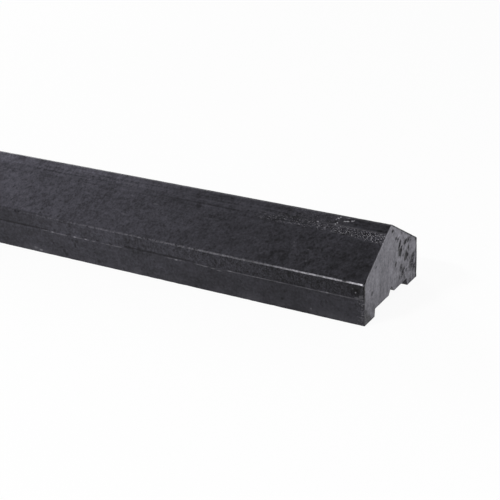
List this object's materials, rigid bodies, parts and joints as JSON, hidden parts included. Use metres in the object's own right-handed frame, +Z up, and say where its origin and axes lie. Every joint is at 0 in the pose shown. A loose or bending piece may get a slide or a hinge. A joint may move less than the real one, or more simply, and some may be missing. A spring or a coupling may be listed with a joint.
{
  "type": "concrete wall cap",
  "caption": "Long precast concrete wall cap with a saddleback top, plain sides and a recessed, grooved underside that seats over the top of a wall or fence panel.",
  "frame": {"origin": "middle of the cap's length and width, on the plane of the two soles that it rests on", "axes": "+X along the cap's length, +Y across its width, +Z up from the soles to the ridge"},
  "size_m": [1.84, 0.12, 0.08],
  "materials": {
    "anthracite_concrete": "anthracite coated concrete with a low satin sheen, bare and pitted on its ends"
  },
  "bodies": {
    "root": {"wall_cap": "anthracite_concrete"}
  },
  "joints": []
}
